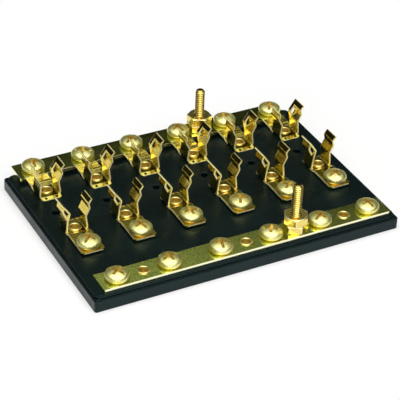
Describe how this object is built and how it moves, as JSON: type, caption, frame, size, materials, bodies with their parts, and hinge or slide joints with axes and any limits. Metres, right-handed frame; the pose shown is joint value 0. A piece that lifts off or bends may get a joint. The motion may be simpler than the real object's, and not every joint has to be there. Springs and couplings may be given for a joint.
{
  "type": "fuse terminal block",
  "caption": "Open fuse block for glass tube fuses: spring clips and terminal screws on a black moulded plate, with a supply bus bar and a ground bus bar that each carry a threaded stud.",
  "frame": {"origin": "middle of the outline on the flat back of the plate", "axes": "+X along the bus bars, +Y from the ground bar to the supply bar, +Z out of the back face"},
  "size_m": [0.115, 0.0796, 0.0244],
  "materials": {
    "black_plastic": "semi-gloss moulded",
    "bar_brass": "rolled strip, lightly clouded",
    "clip_brass": "bright stamped sheet",
    "screw_brass": "polished",
    "stud_brass": "bright",
    "eyelet_brass": "bright"
  },
  "bodies": {
    "block": {"base_plate": "black_plastic", "ground_bus_bar": "bar_brass", "supply_bus_bar": "bar_brass", "outlet_clip_1": "clip_brass", "outlet_clip_2": "clip_brass", "outlet_clip_3": "clip_brass", "outlet_clip_4": "clip_brass", "outlet_clip_5": "clip_brass", "outlet_clip_6": "clip_brass", "supply_clip_1": "clip_brass", "supply_clip_2": "clip_brass", "supply_clip_3": "clip_brass", "supply_clip_4": "clip_brass", "supply_clip_5": "clip_brass", "supply_clip_6": "clip_brass", "outlet_eyelets": "eyelet_brass", "supply_eyelets": "eyelet_brass", "ground_bar_eyelets": "eyelet_brass", "ground_stud": "stud_brass", "supply_stud": "stud_brass", "ground_lower_nut": "stud_brass", "supply_lower_nut": "stud_brass"},
    "outlet_screw_1": {"outlet_screw_1": "screw_brass"},
    "outlet_screw_2": {"outlet_screw_2": "screw_brass"},
    "outlet_screw_3": {"outlet_screw_3": "screw_brass"},
    "outlet_screw_4": {"outlet_screw_4": "screw_brass"},
    "outlet_screw_5": {"outlet_screw_5": "screw_brass"},
    "outlet_screw_6": {"outlet_screw_6": "screw_brass"},
    "supply_screw_1": {"supply_screw_1": "screw_brass"},
    "supply_screw_2": {"supply_screw_2": "screw_brass"},
    "supply_screw_3": {"supply_screw_3": "screw_brass"},
    "supply_screw_4": {"supply_screw_4": "screw_brass"},
    "supply_screw_5": {"supply_screw_5": "screw_brass"},
    "supply_screw_6": {"supply_screw_6": "screw_brass"},
    "ground_screw_1": {"ground_screw_1": "screw_brass"},
    "ground_screw_2": {"ground_screw_2": "screw_brass"},
    "ground_screw_3": {"ground_screw_3": "screw_brass"},
    "ground_screw_4": {"ground_screw_4": "screw_brass"},
    "ground_screw_5": {"ground_screw_5": "screw_brass"},
    "ground_screw_6": {"ground_screw_6": "screw_brass"},
    "ground_top_nut": {"ground_top_nut": "stud_brass"},
    "supply_top_nut": {"supply_top_nut": "stud_brass"}
  },
  "joints": [
    {"name": "outlet_screw_1_lift", "type": "slide", "parent": "block", "child": "outlet_screw_1", "axis": [0, 0, 1], "range_m": [0, 0.003]},
    {"name": "outlet_screw_2_lift", "type": "slide", "parent": "block", "child": "outlet_screw_2", "axis": [0, 0, 1], "range_m": [0, 0.003]},
    {"name": "outlet_screw_3_lift", "type": "slide", "parent": "block", "child": "outlet_screw_3", "axis": [0, 0, 1], "range_m": [0, 0.003]},
    {"name": "outlet_screw_4_lift", "type": "slide", "parent": "block", "child": "outlet_screw_4", "axis": [0, 0, 1], "range_m": [0, 0.003]},
    {"name": "outlet_screw_5_lift", "type": "slide", "parent": "block", "child": "outlet_screw_5", "axis": [0, 0, 1], "range_m": [0, 0.003]},
    {"name": "outlet_screw_6_lift", "type": "slide", "parent": "block", "child": "outlet_screw_6", "axis": [0, 0, 1], "range_m": [0, 0.003]},
    {"name": "supply_screw_1_lift", "type": "slide", "parent": "block", "child": "supply_screw_1", "axis": [0, 0, 1], "range_m": [0, 0.003]},
    {"name": "supply_screw_2_lift", "type": "slide", "parent": "block", "child": "supply_screw_2", "axis": [0, 0, 1], "range_m": [0, 0.003]},
    {"name": "supply_screw_3_lift", "type": "slide", "parent": "block", "child": "supply_screw_3", "axis": [0, 0, 1], "range_m": [0, 0.003]},
    {"name": "supply_screw_4_lift", "type": "slide", "parent": "block", "child": "supply_screw_4", "axis": [0, 0, 1], "range_m": [0, 0.003]},
    {"name": "supply_screw_5_lift", "type": "slide", "parent": "block", "child": "supply_screw_5", "axis": [0, 0, 1], "range_m": [0, 0.003]},
    {"name": "supply_screw_6_lift", "type": "slide", "parent": "block", "child": "supply_screw_6", "axis": [0, 0, 1], "range_m": [0, 0.003]},
    {"name": "ground_screw_1_lift", "type": "slide", "parent": "block", "child": "ground_screw_1", "axis": [0, 0, 1], "range_m": [0, 0.003]},
    {"name": "ground_screw_2_lift", "type": "slide", "parent": "block", "child": "ground_screw_2", "axis": [0, 0, 1], "range_m": [0, 0.003]},
    {"name": "ground_screw_3_lift", "type": "slide", "parent": "block", "child": "ground_screw_3", "axis": [0, 0, 1], "range_m": [0, 0.003]},
    {"name": "ground_screw_4_lift", "type": "slide", "parent": "block", "child": "ground_screw_4", "axis": [0, 0, 1], "range_m": [0, 0.003]},
    {"name": "ground_screw_5_lift", "type": "slide", "parent": "block", "child": "ground_screw_5", "axis": [0, 0, 1], "range_m": [0, 0.003]},
    {"name": "ground_screw_6_lift", "type": "slide", "parent": "block", "child": "ground_screw_6", "axis": [0, 0, 1], "range_m": [0, 0.003]},
    {"name": "ground_top_nut_lift", "type": "slide", "parent": "block", "child": "ground_top_nut", "axis": [0, 0, 1], "range_m": [0, 0.008]},
    {"name": "supply_top_nut_lift", "type": "slide", "parent": "block", "child": "supply_top_nut", "axis": [0, 0, 1], "range_m": [0, 0.007]}
  ]
}
